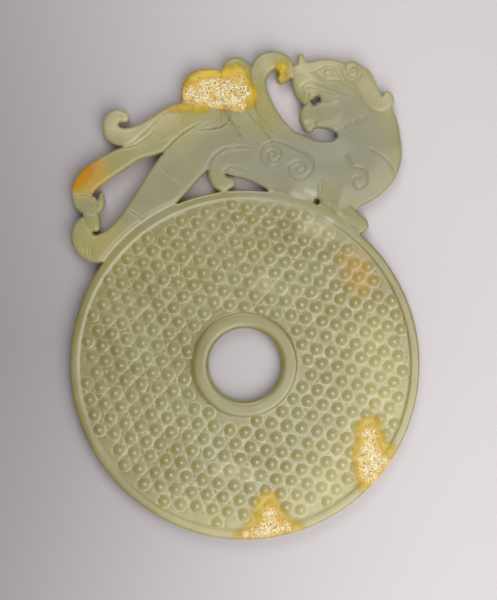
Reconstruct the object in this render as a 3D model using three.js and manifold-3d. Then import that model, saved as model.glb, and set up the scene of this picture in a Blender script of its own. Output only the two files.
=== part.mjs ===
// An archaistic jade bi: a flat ring with rows of grain studs, and an openwork dragon crouching on its rim.
// Ring and dragon are one carved slab. Millimetres; the slab lies on its back, +Z up, the dragon towards +Y.
import * as THREE from "three";
import { mergeVertices } from "three/addons/utils/BufferGeometryUtils.js";
import Module from "manifold-3d";

const wasm = await Module();
wasm.setup();

// ---- Driving dimensions ----
const DISC = { radius: 70, thickness: 6, facets: 56 };
const RIM = { inner: 66.4, bevel: 0.7 }; // the plain band round the outside
const COLLAR = { outer: 20.3, inner: 16.6 }; // the plain band round the hole
const BORE = { radius: 14.3, land: 1.2 }; // worn round towards both faces, narrowest half way
const FIELD = { depth: 0.7, slope: 0.5 }; // the sunk ground between the two bands, on both faces
const STUD = { pitch: 6.2, radius: 2.5, height: 0.85, root: 0.4, sides: 5 };
// How the studs stand: a first one, the tilt of their rows in degrees, and how near to a band they come.
const ROWS = { start: [1.9, 0.1], tilt: -11.2, clear: 1.75 };
const GROOVE = { halfWidth: 1.3, rise: 4 };

// The limbs of the dragon: how high the back of each stands, and its middle line as [x, y, half-width] from
// the centre of the disc. A limb narrows, widens and curls with its line.
const LIMBS = {
  upperTail: {
    top: 5.8,
    line: [
      [-12, 102, 7], [-27, 98.4, 6.2], [-36, 94.2, 5], [-43, 92.2, 3.7], [-49, 91.2, 3.7], [-53, 93, 3.6],
      [-53.8, 97, 3.1], [-51.3, 99.7, 2.7], [-48.4, 99.3, 2.1],
    ],
  },
  lowerTail: {
    top: 6,
    line: [
      [-12, 101, 7], [-28, 94.3, 7], [-37, 89, 5.2], [-44, 85.2, 3.7], [-50, 82.3, 4.5], [-57.5, 77.7, 4.9],
      [-62.4, 74, 4.8], [-65.2, 69.3, 4.4], [-64.3, 64.6, 3.9], [-60.6, 62.8, 3.2], [-57.9, 65, 1.8],
      [-57.4, 68.2, 0.8],
    ],
  },
  tailBridge: { top: 5.4, line: [[-62.4, 63, 3.2], [-61.9, 57.5, 3.3]] },
  hindLeg: {
    top: 6.6,
    line: [
      [-8, 90, 8.5], [-22, 83, 8.9], [-30, 74.3, 8.6], [-38.4, 63.5, 7.4], [-45.3, 54.8, 6.6],
      [-52.6, 48.7, 5.9],
      [-60, 46.4, 5.6], [-64.9, 50, 4.6], [-64.6, 54.8, 4], [-61.8, 57.4, 3],
    ],
  },
  firstLobe: { top: 6.2, line: [[-16.2, 94, 6], [-17.3, 103, 7.6], [-17.3, 110.5, 7.5]] },
  firstLobeSide: { top: 6.2, line: [[-13.8, 100, 6], [-13.7, 111.2, 6.6]] },
  secondLobe: { top: 6, line: [[-0.5, 92, 9], [-2.6, 106, 7.4], [-3.3, 116.6, 6.1]] },
  plume: {
    top: 6.4,
    line: [
      [21, 84, 7], [14.6, 92, 4.7], [9.4, 99.3, 4.3], [7.2, 105, 3.6], [6, 110, 2.9], [5.4, 114, 3.1],
      [6.1, 118, 3.9], [8.4, 121, 4.1], [12.3, 122.1, 3.6], [15.9, 120, 3.6], [16.6, 116.6, 2.6],
      [14.6, 114.3, 1.7],
    ],
  },
  rump: { top: 6.8, line: [[-13, 90, 8], [-6, 92, 10.5], [5, 89, 12.8]] },
  body: { top: 7, line: [[-3, 87, 11.5], [5, 86, 12.6], [15.8, 81.2, 13], [26, 74.8, 15.4], [36, 74.4, 15.2]] },
  chest: {
    top: 7,
    line: [[34, 73, 10], [43, 77.5, 14.2], [48.6, 83, 14.1], [50.2, 90, 12.2], [48.6, 96, 12.3], [44, 104, 9]],
  },
  foreleg: { top: 6.6, line: [[43, 72, 8.5], [38, 63.5, 6]] },
  forefoot: { top: 6.4, line: [[38, 62, 4], [46.2, 56, 3.4]] },
  skull: { top: 6.8, line: [[46, 105, 9], [34.6, 113.4, 9], [28, 115.4, 6.5], [22.6, 116.6, 4.2]] },
  muzzle: { top: 6.4, line: [[23, 116, 4], [23.4, 110.4, 3.9], [24.6, 106.4, 2.2]] },
  cheek: { top: 6.4, line: [[42, 104, 8], [33, 105.6, 4.6], [26.4, 106, 3.4]] },
  noseTuft: { top: 5.8, line: [[23.6, 118, 3], [22.5, 123.4, 1.3]] },
  jaw: { top: 6.5, line: [[45, 99, 9], [34, 99.9, 5.4], [27.5, 100.3, 5.2], [25.4, 99.6, 3.6]] },
  beard: { top: 5.8, line: [[25.3, 99, 3.5], [25.8, 95.4, 2.3]] },
  ear: { top: 6.4, line: [[41.2, 113.5, 4.5], [43.2, 117.8, 3.8]] },
  mane: {
    top: 6.3,
    line: [
      [43, 118, 3.6], [47, 114.5, 4.3], [49.6, 109.5, 4.1], [52, 105.6, 3.6], [55.3, 104, 2.6],
      [57.6, 105.6, 2.4], [57.1, 107.7, 2],
    ],
  },
  middleHook: {
    top: 6.2,
    line: [
      [5, 81, 5], [-2, 82.5, 4.4], [-7, 82.6, 3.8], [-10.8, 79.5, 3.5], [-11.2, 75.5, 3.4],
      [-9, 72.6, 3.3], [-6, 72.8, 2.3],
    ],
  },
};
// Seen end on, a limb is flat below and rounded above: across in half-widths, up in heights.
const LIMB_SECTION = [[-0.95, 0], [0.95, 0], [1, 0.5], [0.68, 0.92], [0, 1], [-0.68, 0.92], [-1, 0.5]];
const LIMB_END = [35, 70]; // a limb's round end, in degrees from its last full section
const END_SINK = 0.35; // how far the tip sinks, in parts of the height
const SECTION_TURN = 15; // the least turn, in degrees, from one section of a limb to the next
const SECTION_GAP = 11; // and the most that two of them lie apart
const BEND_REACH = 0.95; // how near a section comes to the centre of its bend

// Places cut right through between the limbs: middle and radius.
const PIERCINGS = [
  { x: 28.9, y: 65.4, radius: 1.1 },
  { x: 27.7, y: 105.3, radius: 1.2 },
  { x: 29, y: 106.3, radius: 1.3 },
];
// Engraved lines on the dragon: how high the floor of the cut lies, and the line.
const ENGRAVED = [
  { floor: 5.7, line: spiral(10.9, 83.6, 3.9, 90, -1.4) },
  { floor: 5.6, line: [[10.9, 89.4], [15, 88.5], [20, 86.3], [24.6, 84.4], [26.9, 81.6], [27, 78.6]] },
  { floor: 5.7, line: spiral(22.2, 78.6, 4.2, 0, -1.4) },
  { floor: 5.7, line: [[40.6, 85.6], [42.2, 81.4], [45, 79], [48.4, 77.6]] },
  { floor: 5.7, line: spiral(45.9, 74, 3.7, 60, -1.4) },
  { floor: 5.6, line: [[50.4, 86.3], [55, 83.4], [58.4, 80], [60.4, 76]] },
  { floor: 5.4, line: [[-9.6, 104], [-7.4, 99.6], [-5.2, 95.6], [-2.7, 91.8]] },
  { floor: 5.5, line: [[2.2, 102], [5, 96.8], [8, 93.6], [11, 92]] },
  { floor: 5.2, line: [[22.3, 111.5], [26.5, 113], [31.9, 111.1], [36, 109.3], [40.8, 107.8]] },
  { floor: 5.6, line: [[28.3, 117.6], [31.5, 114], [35, 113.4], [40, 112.6]] },
  { floor: 5.3, line: [[38.4, 120.8], [39.4, 116], [42, 111.6], [46.4, 108.6]] },
];

// ---- Solids ----
// A spiral line round (x, y), from its outer end inwards. Negative turns run clockwise.
function spiral(x, y, radius, startDegrees, turns) {
  const points = 9;
  const line = [];
  for (let i = 0; i < points; i++) {
    const t = i / (points - 1);
    const angle = THREE.MathUtils.degToRad(startDegrees + 360 * turns * t);
    const reach = radius * (1 - 0.8 * t);
    line.push([x + reach * Math.cos(angle), y + reach * Math.sin(angle)]);
  }
  return line;
}

function toSolid(geometry) {
  const bare = geometry.clone();
  bare.deleteAttribute("normal");
  bare.deleteAttribute("uv");
  const merged = mergeVertices(bare, 1e-4);
  const mesh = { numProp: 3, vertProperties: merged.attributes.position.array, triVerts: merged.index.array };
  return new wasm.Manifold(new wasm.Mesh(mesh));
}

function toGeometry(solid) {
  const mesh = solid.getMesh();
  const geometry = new THREE.BufferGeometry();
  geometry.setAttribute("position", new THREE.BufferAttribute(mesh.vertProperties, 3));
  geometry.setIndex(new THREE.BufferAttribute(mesh.triVerts, 1));
  geometry.computeVertexNormals();
  return geometry;
}

// Sections along a line of [x, y, half-width]: where each stands, which way it looks, and how far it reaches
// to either side. Inside a bend a section stops short of the bend's centre, so the skin never folds over.
function stationsAlong(line, steps) {
  const curve = new THREE.CatmullRomCurve3(line.map(([x, y, w]) => new THREE.Vector3(x, y, w)));
  const count = (line.length - 1) * steps;
  const stations = [];
  for (let i = 0; i <= count; i++) {
    const point = curve.getPoint(i / count);
    const along = curve.getTangent(i / count).setZ(0).normalize();
    stations.push({ x: point.x, y: point.y, along, left: point.z, right: point.z, lift: 1 });
  }
  for (let i = 1; i < count; i++) {
    const before = stations[i - 1];
    const after = stations[i + 1];
    const turn = before.along.x * after.along.y - before.along.y * after.along.x;
    const apart = Math.hypot(after.x - before.x, after.y - before.y);
    const inside = turn > 0 ? "left" : "right";
    stations[i][inside] = Math.min(stations[i][inside], (BEND_REACH * apart) / Math.abs(turn));
  }
  return thinned(stations);
}

// Leaves out the sections that a nearly straight stretch doesn't need.
function thinned(stations) {
  const leastTurn = THREE.MathUtils.degToRad(SECTION_TURN);
  const kept = [stations[0]];
  for (const station of stations.slice(1, -1)) {
    const before = kept.at(-1);
    const turn = station.along.angleTo(before.along);
    const gap = Math.hypot(station.x - before.x, station.y - before.y);
    if (turn > leastTurn || gap > SECTION_GAP) kept.push(station);
  }
  return [...kept, stations.at(-1)];
}

// A round end beyond a last section: sections that move on by the sine, and narrow and sink by the cosine.
function roundEnd(station) {
  return LIMB_END.map((degrees) => {
    const angle = THREE.MathUtils.degToRad(degrees);
    const advance = Math.sin(angle) * Math.min(station.left, station.right);
    return {
      x: station.x + advance * station.along.x,
      y: station.y + advance * station.along.y,
      along: station.along,
      left: station.left * Math.cos(angle),
      right: station.right * Math.cos(angle),
      lift: 1 - END_SINK * (1 - Math.cos(angle)),
    };
  });
}

// The closed skin over a row of sections, each the same outline between the heights low and high.
function skin(stations, section, low, high) {
  const positions = [];
  const faces = [];
  const n = section.length;
  for (const { x, y, along, left, right, lift } of stations)
    for (const [across, up] of section) {
      const reach = across * (across > 0 ? left : right);
      positions.push(x - along.y * reach, y + along.x * reach, low + (high - low) * up * lift);
    }
  for (let s = 0; s + 1 < stations.length; s++)
    for (let k = 0; k < n; k++) {
      const [a, b] = [s * n + k, s * n + ((k + 1) % n)];
      faces.push(a, b, a + n, b, b + n, a + n);
    }
  const last = (stations.length - 1) * n;
  for (let k = 1; k + 1 < n; k++) {
    faces.push(0, k + 1, k);
    faces.push(last, last + k, last + k + 1);
  }
  const geometry = new THREE.BufferGeometry();
  geometry.setAttribute("position", new THREE.Float32BufferAttribute(positions, 3));
  geometry.setIndex(faces);
  return geometry;
}

// A limb starts square, inside its neighbours, and ends round.
function limb({ top, line }) {
  const stations = stationsAlong(line, 3);
  return toSolid(skin([...stations, ...roundEnd(stations.at(-1))], LIMB_SECTION, 0, top));
}

// A V-shaped cut along a line. Its walls open upwards from the floor, past the back of every limb.
function engraving({ floor, line }) {
  const stations = stationsAlong(line.map(([x, y]) => [x, y, GROOVE.halfWidth]), 1);
  return toSolid(skin(stations, [[0, 0], [1, 1], [-1, 1]], floor, floor + GROOVE.rise));
}

function piercing({ x, y, radius }) {
  const hole = new THREE.CylinderGeometry(radius, radius, 4 * DISC.thickness, 10);
  hole.rotateX(Math.PI / 2);
  hole.translate(x, y, 0);
  return toSolid(hole);
}

// The ring: plain bands at the rim and round the hole, and the ground sunk between them on both faces.
function ring() {
  const { radius, thickness } = DISC;
  const low = FIELD.depth;
  const high = thickness - FIELD.depth;
  const middle = thickness / 2;
  const profile = [
    [COLLAR.outer, 0], [COLLAR.outer + FIELD.slope, low], [RIM.inner - FIELD.slope, low], [RIM.inner, 0],
    [radius - RIM.bevel, 0], [radius, RIM.bevel],
    [radius, thickness - RIM.bevel], [radius - RIM.bevel, thickness], [RIM.inner, thickness],
    [RIM.inner - FIELD.slope, high], [COLLAR.outer + FIELD.slope, high],
    [COLLAR.outer, thickness], [COLLAR.inner, thickness], [BORE.radius, middle + BORE.land],
    [BORE.radius, middle - BORE.land], [COLLAR.inner, 0], [COLLAR.outer, 0],
  ];
  const lathe = new THREE.LatheGeometry(profile.map(([r, z]) => new THREE.Vector2(r, z)), DISC.facets);
  lathe.rotateX(Math.PI / 2);
  return toSolid(lathe);
}

// Where the studs stand: a honeycomb of equal pitch, its rows tilted, on the ground between the two bands.
function studPlaces() {
  const rowStep = (STUD.pitch * Math.sqrt(3)) / 2;
  const margin = FIELD.slope + ROWS.clear;
  const reach = Math.ceil(DISC.radius / rowStep);
  const tilt = THREE.MathUtils.degToRad(ROWS.tilt);
  const places = [];
  for (let row = -reach; row <= reach; row++)
    for (let column = -reach; column <= reach; column++) {
      const place = new THREE.Vector2((column + (row & 1) / 2) * STUD.pitch, row * rowStep);
      place.rotateAround(new THREE.Vector2(), tilt).add(new THREE.Vector2(...ROWS.start));
      const r = place.length();
      if (r > COLLAR.outer + margin && r < RIM.inner - margin) places.push(place);
    }
  return places;
}

// The studs are low pyramids that reach a little into the ground, by their root.
function studs() {
  const { radius, height, root, sides } = STUD;
  const ground = DISC.thickness - FIELD.depth;
  const cone = new THREE.ConeGeometry(radius * (1 + root / height), height + root, sides);
  cone.rotateX(Math.PI / 2);
  return studPlaces().map(({ x, y }) => {
    const stud = cone.clone().translate(x, y, ground + (height - root) / 2);
    return toSolid(stud);
  });
}

// ---- The jade ----
function carvedBi() {
  let dragon = Object.values(LIMBS).map(limb).reduce((all, one) => all.add(one));
  for (const line of ENGRAVED) dragon = dragon.subtract(engraving(line));
  // The limbs end at the field: past the rim band nothing of the dragon lies on the disc.
  const field = new THREE.CylinderGeometry(DISC.radius - 1, DISC.radius - 1, 4 * DISC.thickness, DISC.facets);
  field.rotateX(Math.PI / 2);
  dragon = dragon.subtract(toSolid(field));
  let jade = ring().add(dragon);
  for (const hole of PIERCINGS) jade = jade.subtract(piercing(hole));
  for (const stud of studs()) jade = jade.add(stud);
  return toGeometry(jade);
}

const jade = new THREE.Mesh(
  carvedBi(),
  new THREE.MeshStandardMaterial({ color: 0xa8a676, roughness: 0.38, metalness: 0 }),
);
jade.name = "jade_bi";
jade.geometry.computeBoundingBox();
const middle = jade.geometry.boundingBox.getCenter(new THREE.Vector3());
jade.position.set(-middle.x, -middle.y, 0);

const bi = new THREE.Group();
bi.add(jade);
export default bi;
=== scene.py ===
# The looks of the jade bi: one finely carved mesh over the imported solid, its stone, and a plain studio.
# Lengths here are millimetres from the centre of the disc, x and y in its plane and z up from the table,
# until place() turns them into the frame's metres.
import math

import bpy
import numpy as np
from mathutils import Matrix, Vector, kdtree
from mathutils.geometry import delaunay_2d_cdt

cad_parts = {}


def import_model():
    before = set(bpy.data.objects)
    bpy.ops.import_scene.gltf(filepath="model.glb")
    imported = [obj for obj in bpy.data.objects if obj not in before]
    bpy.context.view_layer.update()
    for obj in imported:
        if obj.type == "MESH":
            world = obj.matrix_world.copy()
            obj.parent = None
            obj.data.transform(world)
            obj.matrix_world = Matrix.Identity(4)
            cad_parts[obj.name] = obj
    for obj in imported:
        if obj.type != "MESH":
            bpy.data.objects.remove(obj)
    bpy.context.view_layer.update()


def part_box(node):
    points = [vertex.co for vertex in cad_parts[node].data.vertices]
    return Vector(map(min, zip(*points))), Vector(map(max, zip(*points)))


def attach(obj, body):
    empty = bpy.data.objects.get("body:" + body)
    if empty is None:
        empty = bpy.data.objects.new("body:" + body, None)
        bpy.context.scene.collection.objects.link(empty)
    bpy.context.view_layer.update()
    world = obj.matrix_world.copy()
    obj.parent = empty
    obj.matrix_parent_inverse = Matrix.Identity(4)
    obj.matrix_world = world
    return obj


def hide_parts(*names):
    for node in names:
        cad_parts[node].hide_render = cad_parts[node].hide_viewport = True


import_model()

# ---- The ring ----
RADIUS = 70.0
THICKNESS = 6.0
RIM_INNER = 66.4
COLLAR_OUTER = 20.3
COLLAR_INNER = 16.5
BORE = 14.55
BORE_LAND = 0.9  # half the height of the narrow middle of the hole
FIELD_DEPTH = (0.7, 0.42)  # at the collar and at the rim
COLLAR_SLOPE, RIM_SLOPE = 0.85, 1.0
RIM_LIP = 0.4  # the share of the rim's slope that lies inside RIM_INNER
RIM_ROUND = (1.0, 0.9)  # how far in and how far down the rim's edge is rounded
RING_FADE = 0.5  # over what width past the rim the ring's face gives way to the dragon's
RIM_GROOVE = (70.9, 0.8, 0.22)  # the crease between the rim and the dragon: radius, half-width, depth
GROOVE_FADE = 2  # how near to the slab's edge the crease runs out

# ---- The grain studs ----
PITCH = 6.2
ROW_STEP = PITCH * math.sqrt(3) / 2
ROW_TILT = math.radians(-11.2)
FIRST_STUD = (1.9, 0.1)
STUD_RADIUS = 2.5
STUD_HEIGHT = 0.42
STUD_TIP = 0.6  # the radius of its rounded tip
MOAT = (2.72, 0.2, 0.16)  # the tube drill's ring: radius, width, depth
STUD_CLEAR = 1.75  # how near to a band a stud's middle comes
STUD_EDGE = 0.8  # how near to a band the studs start to sink into the field
PLACE_JITTER = 0.16  # a standard deviation, like the next two
SIZE_JITTER, HEIGHT_JITTER = 0.04, 0.15  # as shares of the radius and of the height
BACK_STUDS = 0.85  # how high the studs of the back are against those of the face

# ---- The dragon ----
LIMB_ROUND = (1.5, 1.25)  # how far in and how far down a limb's free edge is rounded
BACK_ROUND = (1.7, 1.3)  # the same on the plain back
BODY_LOW, BODY_HIGH = 5.9, 6.95  # the body's back near its edge, and along its middle
BODY_REACH = 11  # how far in from the edge it is at its highest
CROWN_DROP = 0.3  # how much lower a limb is at its edge than along its middle
FLANK = 1.1  # how far in from its edge a limb reaches its own height
OVERLAP = 1.2  # how far inside the forms under it a limb's step and crease get their full depth
LEVEL_SHARE = 0.25  # the share of the length it rises over in which a limb still lies level
CREASE_WIDTH = 0.5
TOP = 6.97  # nothing stands higher
CREST = 126  # how far up the plane the dragon reaches, rounded up

# Forms that flow into each other: middle lines as [x, y, half-width].
BODY = {
    "rump": [(-13, 90, 8), (-6, 92, 10.5), (5, 89, 12.8)],
    "body": [(-3, 87, 11.5), (5, 86, 12.6), (15.8, 81.2, 13), (26, 74.8, 15.4), (36, 74.4, 15.2)],
    "chest": [(34, 73, 10), (43, 77.5, 14.2), (48.6, 83, 14.1), (50.2, 90, 12.2), (48.6, 96, 12.3),
              (44, 104, 9)],
    "foreleg": [(43, 72, 8.5), (38, 63.5, 6)],
    "skull": [(46, 105, 9), (34.6, 113.4, 9), (28, 115.4, 6.5), (22.6, 116.6, 4.2)],
    "muzzle": [(23, 116, 4), (23.4, 110.4, 3.9), (24.6, 106.4, 2.2)],
    "cheek": [(42, 104, 8), (33, 105.6, 4.6), (26.4, 106, 3.4)],
}
# Limbs that lie over what was made before them, in that order: the height of the back, how deep a crease each
# cuts round itself, over what length it rises out of the body, and its middle line.
LIMBS = {
    "first_lobe": (6.3, 0.45, 8, [
        (-16.2, 94, 6), (-17.3, 103, 7.6), (-17.4, 110.5, 7.5), (-13.8, 111.9, 6.7)]),
    "upper_tail": (6.2, 0.5, 0, [
        (-12, 100.8, 6.2), (-27, 98.4, 6.2), (-36, 94.2, 5), (-43, 92.2, 3.7), (-49, 91.2, 3.7),
        (-53, 93, 3.6), (-53.8, 97, 3.1), (-51.3, 99.7, 2.7), (-48.4, 99.3, 2.1)]),
    "lower_tail": (6.35, 0.45, 24, [
        (-12, 100.4, 6.4), (-28, 94.3, 7), (-37, 89, 5.2), (-44, 85.2, 3.7), (-50, 82.3, 4.5),
        (-57.5, 77.7, 4.9), (-62.4, 74, 4.8), (-65.2, 69.3, 4.4), (-64.3, 64.6, 3.9), (-60.6, 62.8, 3.2),
        (-57.9, 65, 1.8), (-57.4, 68.2, 0.8)]),
    "second_lobe": (6.45, 0.55, 9, [(-0.5, 92, 9), (-2.6, 106, 7.4), (-3.3, 117.2, 6.1)]),
    "hind_leg": (6.8, 0.55, 10, [
        (-8, 90.6, 8.6), (-15, 88.4, 8.7), (-22, 83.4, 8.9), (-30, 74.3, 8.6), (-38.4, 63.5, 7.4),
        (-45.3, 54.8, 6.6), (-52.6, 48.7, 5.9), (-60, 46.4, 5.6), (-64.9, 50, 4.6), (-64.6, 54.8, 4),
        (-61.8, 57.4, 3)]),
    "tail_neck": (6.9, 0.35, 5, [
        (-62.6, 64.5, 3.6), (-61.9, 61, 3.2), (-60.9, 57.6, 2.7), (-59.9, 55.2, 2)]),
    "middle_hook": (6.5, 0.6, 7, [
        (5, 81, 5), (-2, 82.5, 4.4), (-7, 82.6, 3.8), (-10.8, 79.5, 3.5), (-11.2, 75.5, 3.4),
        (-9, 72.6, 3.3), (-6, 72.8, 2.3)]),
    "plume": (6.7, 0.55, 14, [
        (21, 84, 7), (14.6, 92, 4.7), (9.4, 99.3, 4.3), (7.2, 105, 3.6), (6, 110, 2.9), (5.4, 114, 3.1),
        (6.1, 118, 3.9), (8.4, 120.9, 4.1), (12.3, 122, 3.6), (15.9, 120, 3.6), (16.6, 116.6, 2.6),
        (14.6, 114.3, 1.7)]),
    "jaw": (6.6, 0.25, 9, [(45, 99, 9), (34, 99.9, 5.4), (27.5, 100.3, 5.2), (25.4, 99.6, 3.6)]),
    "beard": (5.9, 0.2, 2, [(25.3, 99, 3.5), (25.8, 95.4, 2.3)]),
    "nose_tuft": (5.9, 0.2, 2, [(23.6, 118, 3), (22.5, 123.4, 1.3)]),
    "mane": (6.75, 0.55, 3, [
        (43, 118, 3.6), (47, 114.5, 4.3), (49.6, 109.5, 4.1), (52, 105.6, 3.6), (55.3, 104, 2.6),
        (57.6, 105.6, 2.4), (57.1, 107.7, 2)]),
    "ear": (6.7, 0.3, 2, [(41.2, 113.5, 4.5), (43.2, 117.8, 3.8)]),
    "forefoot": (6.5, 0.35, 3, [(38, 62, 4), (46.2, 56, 3.4)]),
}
PIERCINGS = [(28.9, 65.4, 1.1), (27.7, 105.3, 1.2), (29.0, 106.3, 1.3)]  # x, y, radius
# The eyeball, the hollow of the mouth, the lip and the cheek: middle, radius and how far it stands out.
BOSSES = [(33.6, 116.4, 2.0, 0.45), (27.6, 107.4, 2.6, -0.9), (24.6, 108.4, 1.3, 0.3), (34, 101.5, 5, 0.25)]

FAR = 99.0  # stands for any distance too great to matter


# ---- Lines and distances in the plane ----
def run(steps):
    """The running total of steps, from 0: how far along a line each of its points is."""
    return np.concatenate([[0], np.cumsum(steps)])


def smooth_line(points, step=0.3):
    """Points about a step apart on a centripetal Catmull-Rom spline; columns past x and y follow it."""
    p = np.array(points, float)
    p = np.vstack([2 * p[0] - p[1], p, 2 * p[-1] - p[-2]])
    knots = run(np.linalg.norm(np.diff(p[:, :2], axis=0), axis=1) ** 0.5)
    out = []
    for i in range(1, len(p) - 2):
        count = max(2, int(np.linalg.norm(p[i + 1] - p[i]) / step))
        t = np.linspace(knots[i], knots[i + 1], count, endpoint=False)[:, None]
        k = knots[i - 1 : i + 3]
        q = p[i - 1 : i + 3]
        a = [(k[j + 1] - t) / (k[j + 1] - k[j]) * q[j] + (t - k[j]) / (k[j + 1] - k[j]) * q[j + 1]
             for j in range(3)]
        b = [(k[j + 2] - t) / (k[j + 2] - k[j]) * a[j] + (t - k[j]) / (k[j + 2] - k[j]) * a[j + 1]
             for j in range(2)]
        out.append((k[2] - t) / (k[2] - k[1]) * b[0] + (t - k[1]) / (k[2] - k[1]) * b[1])
    return np.vstack(out + [p[-2]])


def limb_field(p, line):
    """How far points lie outside the limb's edge, across it from its middle (1 is the edge), and along it."""
    outside, across, along = np.full(len(p), FAR), np.full(len(p), FAR), np.zeros(len(p))
    margin, most_at_once = 2.5, 20000
    reach = line[:, 2].max() + margin
    low, high = line[:, :2].min(0) - reach, line[:, :2].max(0) + reach
    near = np.flatnonzero(((p > low) & (p < high)).all(1))
    length = run(np.linalg.norm(np.diff(line[:, :2], axis=0), axis=1))
    for block in np.array_split(near, len(near) // most_at_once + 1):
        gap = np.linalg.norm(p[block, None] - line[None, :, :2], axis=2)
        edge = gap - line[:, 2]
        nearest = edge.argmin(1)
        outside[block] = edge[np.arange(len(block)), nearest]
        across[block] = (gap / line[:, 2]).min(1)
        along[block] = length[nearest]
    return outside, across, along


def step_up(t):
    """0 below 0, 1 above 1, smooth between."""
    t = np.clip(t, 0, 1)
    return t * t * (3 - 2 * t)


def quarter(t):
    """A quarter circle's height: 0 at 0, 1 from 1 on."""
    return np.sqrt(1 - (1 - np.clip(t, 0, 1)) ** 2)


def bell(distance, width):
    """1 at no distance, and falling away on both sides over about a width."""
    return np.exp(-((distance / width) ** 2))


def mix(a, b, t):
    return a + (b - a) * t


def distance(p, x, y):
    """How far points in the plane are from one of them."""
    return np.hypot(p[:, 0] - x, p[:, 1] - y)


def from_middle(p):
    """How far points are from the middle of the disc."""
    return distance(p, 0, 0)


# ---- The outline of the slab ----
BODY_LINES = {name: smooth_line(points) for name, points in BODY.items()}
LIMB_LINES = {name: smooth_line(row[3]) for name, row in LIMBS.items()}


def slab_field(p):
    """Negative where there is stone, seen from above."""
    r = from_middle(p)
    field = np.maximum(r - RADIUS, BORE - r)
    for line in [*BODY_LINES.values(), *LIMB_LINES.values()]:
        field = np.minimum(field, limb_field(p, line)[0])
    for x, y, radius in PIERCINGS:
        field = np.maximum(field, radius - distance(p, x, y))
    return field


def contours(field, xs, ys):
    """Closed loops of points where a field on a grid crosses zero."""
    inside = field < 0
    crossed = inside[:-1, :-1] + 2 * inside[1:, :-1] + 4 * inside[1:, 1:] + 8 * inside[:-1, 1:]
    # For each way a cell's corners can lie, the pairs of its sides (0 low, 1 right, 2 high, 3 left) to join.
    joins = {1: [(3, 0)], 2: [(0, 1)], 3: [(3, 1)], 4: [(1, 2)], 5: [(3, 2), (1, 0)], 6: [(0, 2)],
             7: [(3, 2)], 8: [(2, 3)], 9: [(2, 0)], 10: [(0, 3), (2, 1)], 11: [(2, 1)], 12: [(1, 3)],
             13: [(1, 0)], 14: [(0, 3)]}

    def side_key(i, j, side):
        return [(i, j, 0), (i + 1, j, 1), (i, j + 1, 0), (i, j, 1)][side]

    def crossing(key):
        i, j, upright = key
        i2, j2 = (i, j + 1) if upright else (i + 1, j)
        t = field[i, j] / (field[i, j] - field[i2, j2])
        return (mix(xs[i], xs[i2], t), mix(ys[j], ys[j2], t))

    after = {}
    for i, j in np.argwhere((crossed > 0) & (crossed < 15)):
        for a, b in joins[int(crossed[i, j])]:
            after[side_key(i, j, a)] = side_key(i, j, b)
    loops = []
    while after:
        first, key = next(iter(after.items()))
        loop = [first]
        del after[first]
        while key != first:
            loop.append(key)
            key = after.pop(key)
        loops.append(np.array([crossing(k) for k in loop]))
    return loops


def even(loop, step):
    """The same closed loop with its points a step apart."""
    closed = np.vstack([loop, loop[:1]])
    length = run(np.linalg.norm(np.diff(closed, axis=0), axis=1))
    count = max(12, int(length[-1] / step))
    at = np.linspace(0, length[-1], count, endpoint=False)
    return np.column_stack([np.interp(at, length, closed[:, k]) for k in (0, 1)])


def area(loop):
    """The area inside a loop, negative if it runs clockwise."""
    x, y = loop.T
    return 0.5 * np.sum(x * np.roll(y, -1) - y * np.roll(x, -1))


def slab_outline(grid=0.3, step=0.5):
    """The slab's loops, stone on the left: the outer one counter-clockwise, the holes clockwise."""
    margin, least_area = 3, 1.5
    xs = np.arange(-RADIUS - margin, RADIUS + margin, grid)
    ys = np.arange(-RADIUS - margin, CREST + margin, grid)
    field = slab_field(np.stack(np.meshgrid(xs, ys, indexing="ij"), -1).reshape(-1, 2))
    loops = contours(field.reshape(len(xs), len(ys)), xs, ys)
    loops = [even(loop, step) for loop in loops if abs(area(loop)) > least_area]
    loops.sort(key=lambda loop: -abs(area(loop)))
    return [loop if (area(loop) > 0) == (n == 0) else loop[::-1] for n, loop in enumerate(loops)]


# ---- Engraved lines ----
def spiral(x, y, radius, start, turns):
    """A line winding in from a circle to its middle."""
    t = np.linspace(0, 1, 24)
    angle = math.radians(start) + t * turns * math.tau
    r = radius * (1 - 0.85 * t)  # it stops short of the very middle
    return np.column_stack([x + r * np.cos(angle), y + r * np.sin(angle)])


def arc(x, y, radius, start, end):
    """Part of a circle, from one angle to another in degrees."""
    angle = np.radians(np.linspace(start, end, 16))
    return np.column_stack([x + radius * np.cos(angle), y + radius * np.sin(angle)])


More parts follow.
